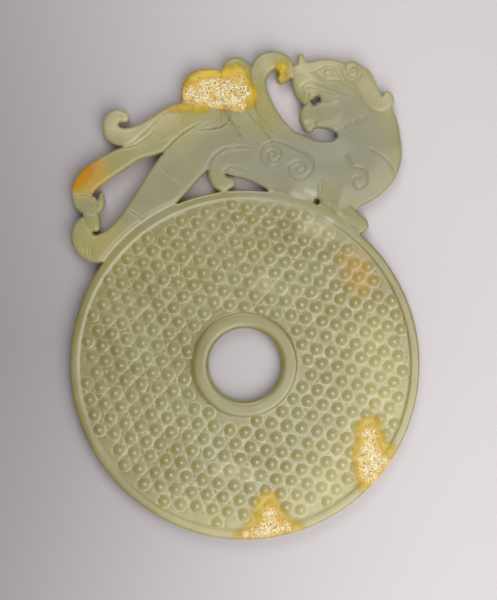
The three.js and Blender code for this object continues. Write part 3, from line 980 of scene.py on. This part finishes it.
def jade():
    """Celadon stone with olive, grey and pale clouds, golden and rusty stains, and grainy cream crust, with a
    painted sheen, painted shade and painted glints on the studs.
    """
    material = bpy.data.materials.new("weathered_jade")
    material.use_nodes = True
    n = Nodes(material)
    broad = n.noise(38, 4, 0.55, 0.6)
    streak = n.noise(60, 4, 0.6, 0.3, (35, 0.35))
    lump = n.noise(420, 3, 0.6)
    fine = n.noise(1300, 3, 0.6)

    # No two drilled rings are quite round, nor is the painted glint on each equally bright.
    gap = n.stray(n.noise(300, 2), 1.3, n.attribute("stud_gap"))
    ring_glint_share = n.range(n.noise(230, 2), 0.4, 0.62, 0.08, 0.5)
    flank = n.math("MULTIPLY", n.range(gap, 0.3, 1.0), n.range(gap, 2.0, 2.5, 1, 0))
    dragon = n.attribute("dragon")

    # The stone's own colour: the ring, the dragon, and the broad changes over both; then a painted sheen on
    # the ring's lower right, and the deep olive, partly the stone's own and partly painted shade.
    colour = n.blend(n.range(broad, 0.35, 0.65), GREEN_GREY, OLIVE)
    mottle = n.math("MULTIPLY_ADD", streak, 0.5, broad)
    shade = n.blend(n.range(mottle, 0.6, 0.9), DRAGON_DARK, DRAGON_PALE)
    colour = n.blend(n.math("MULTIPLY", dragon, 0.8), colour, shade)
    # Painted sheen over the ring's lower right.
    colour = n.blend(n.range(n.attribute("light"), 0, 1, 0, 0.8), colour, PAINTED_SHEEN)
    colour = n.blend(n.range(n.attribute("warm"), 0, 1, 0, 0.75), colour, WARM)
    # The deep olive, partly the stone's own and partly painted shade on the ring's left.
    olive = n.stray(streak, 0.8, n.attribute("olive"))
    colour = n.blend(n.range(olive, 0.25, 0.9, 0, 0.75), colour, DEEP_OLIVE_AND_SHADE)
    cloud = n.stray(broad, 0.9, n.attribute("cloud"))
    colour = n.blend(n.range(cloud, 0.2, 0.9, 0, 0.6), colour, PALE)
    grey = n.stray(streak, 0.5, n.attribute("grey"))
    colour = n.blend(n.range(grey, 0.1, 0.9, 0, 0.9), colour, GREY)

    # Painted highlights on the studs, a pale dot on each tip and a pale line on the drilled ring where light
    # glints; then the chips.
    colour = n.blend(n.range(n.attribute("stud_gap"), 0.2, 0.9, 0.6, 0), colour, PAINTED_GLINT)
    ring_glint = n.math("MULTIPLY", n.range(gap, 2.5, 2.75), n.range(gap, 2.85, 3.1, 1, 0))
    colour = n.blend(n.math("MULTIPLY", ring_glint, ring_glint_share), colour, PAINTED_GLINT)
    colour = n.blend(n.math("MULTIPLY", n.attribute("chip"), 0.6), colour, CHIP_PALE)

    # The stains, with ragged edges.
    ragged = n.stray(streak, 0.9)
    amber = n.math("MULTIPLY_ADD", ragged, 0.5, n.attribute("amber"))
    colour = n.blend(n.range(amber, 0.2, 0.7, 0, 0.85), colour, AMBER)
    stained = n.math("ADD", n.attribute("gold"), n.stray(lump, 0.9, ragged))
    gold = n.range(stained, 0.3, 0.7, 0, 0.97)
    bright = n.math("MULTIPLY", n.range(stained, 0.5, 1.0), n.math("MULTIPLY_ADD", dragon, 0.45, 0.55))
    colour = n.blend(gold, colour, n.blend(bright, DARK_GOLD, GOLD))
    stain = n.math("ADD", n.attribute("stain"), ragged)
    colour = n.blend(n.range(stain, 0.3, 0.8, 0, 0.85), colour, ORANGE)
    rust = n.math("MULTIPLY_ADD", ragged, 0.8, n.attribute("rust"))
    colour = n.blend(n.range(rust, 0.15, 0.75, 0, 0.8), colour, RUST)

    # The crust: cream grains, golden where it thins out, with small brown pits.
    cover = n.stray(n.noise(900, 5, 0.75), 1.4, n.attribute("crust"))
    crust = n.math("MULTIPLY", n.range(cover, 0.4, 0.52), n.range(n.attribute("crust"), 0.02, 0.2))
    cream = n.blend(n.range(fine, 0.35, 0.6), CRUST_DARK, CRUST_PALE)
    cream = n.blend(n.range(n.stray(lump, 2.0, cover), 0.6, 1.1, 0.8, 0), cream, CRUST_EDGE)
    cream = n.blend(n.range(n.noise(1500, 3, 0.6, 0.5), 0.57, 0.62), cream, CRUST_PIT)
    n.put(n.shader.inputs["Base Color"], n.blend(crust, colour, cream))

    # The ground between the studs took the best polish; the flanks, the dragon and the stains stayed duller.
    dull = n.math("MULTIPLY_ADD", flank, 0.2, n.range(fine, 0.3, 0.7, 0.28, 0.36))
    n.put(n.shader.inputs["Roughness"], n.math("MULTIPLY_ADD", crust, 0.4, dull))
    polish = n.math("MULTIPLY_ADD", flank, -0.3, n.math("MULTIPLY_ADD", dragon, -0.5, 0.9))
    polish = n.math("MULTIPLY", polish, n.math("MULTIPLY_ADD", gold, -0.5, 1))
    n.put(n.shader.inputs["Specular IOR Level"], polish)
    relief = n.bump(crust, 0.5, 0.0003, n.bump(fine, 0.05, 0.0003))
    n.put(n.shader.inputs["Normal"], relief)
    n.shader.inputs["Subsurface Weight"].default_value = 0.8
    n.shader.inputs["Subsurface Radius"].default_value = (1.0, 0.9, 0.45)
    n.shader.inputs["Subsurface Scale"].default_value = 0.0015
    n.shader.inputs["IOR"].default_value = 1.62
    return material


bi.data.materials.append(jade())
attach(bi, "root")
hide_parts("jade_bi")


# ---- The studio ----
# The paper's painted shade on its left and painted light on its right.
FLOOR_DIM, FLOOR_BRIGHT = (0.315, 0.285, 0.295), (0.68, 0.635, 0.65)


def paper():
    """Pale studio paper with painted shade: darker to the left, most of all at mid height, and lighter to the
    right.
    """
    material = bpy.data.materials.new("pale_paper")
    material.use_nodes = True
    n = Nodes(material)
    off_middle = n.math("ABSOLUTE", n.math("ADD", n.coordinate("Y"), 0.02))
    way = n.math("MULTIPLY_ADD", off_middle, 0.35, n.coordinate("X"))
    # Painted shade to the left and painted light to the right.
    n.put(n.shader.inputs["Base Color"], n.blend(n.range(way, -0.15, 0.12), FLOOR_DIM, FLOOR_BRIGHT))
    n.shader.inputs["Roughness"].default_value = 0.8
    n.shader.inputs["Specular IOR Level"].default_value = 0.2
    return material


def floor():
    """A wide sheet just under the disc."""
    size, clearance = 1.5, 0.0002
    corners = [(-size, -size, 0), (size, -size, 0), (size, size, 0), (-size, size, 0)]
    mesh = bpy.data.meshes.new("floor")
    mesh.from_pydata(corners, [], [(0, 1, 2, 3)])
    piece = bpy.data.objects.new("floor", mesh)
    piece.location.z = low.z - clearance
    mesh.materials.append(paper())
    bpy.context.scene.collection.objects.link(piece)


def softbox(name, at, aim, size, power):
    """A round light that shines from one place towards another; size in metres, power in watts."""
    light = bpy.data.lights.new(name, "AREA")
    light.shape = "DISK"
    light.size = size
    light.energy = power
    lamp = bpy.data.objects.new(name, light)
    lamp.location = at
    lamp.rotation_euler = (Vector(aim) - Vector(at)).to_track_quat("-Z", "Y").to_euler()
    bpy.context.scene.collection.objects.link(lamp)


def world(strength, colour):
    """Even light from all round."""
    sky = bpy.data.worlds.new("studio")
    sky.use_nodes = True
    shade = sky.node_tree.nodes["Background"]
    shade.inputs["Color"].default_value = (*colour, 1)
    shade.inputs["Strength"].default_value = strength
    bpy.context.scene.world = sky


def camera():
    """Straight above the middle of the whole, with the image's long side taking in view_length."""
    distance = 0.6
    view_length, right, up = 240 * MM, 1.5 * MM, 25.9 * MM
    lens = bpy.data.cameras.new("camera")
    lens.lens = lens.sensor_width * distance / view_length
    eye = bpy.data.objects.new("camera", lens)
    eye.location = (DISC_MIDDLE.x + right, DISC_MIDDLE.y + up, low.z + THICKNESS * MM + distance)
    bpy.context.scene.collection.objects.link(eye)
    bpy.context.scene.camera = eye


floor()
world(0.2, (0.95, 0.96, 1.0))
# One light beyond the dragon throws the shadows towards the ring, one at the lower right gives the ring its
# sheen, and a wide weak one at the foot opens the shadows.
softbox("window", (-0.06, 0.38, 0.5), (0, 0, 0), 0.4, 1.25)
softbox("overhead", (0.2, -0.2, 0.45), (0.02, -0.03, 0), 0.6, 2.25)
softbox("fill", (0.05, -0.55, 0.35), (0, -0.05, 0), 0.5, 0.6)
camera()
bpy.context.scene.view_settings.view_transform = "Standard"
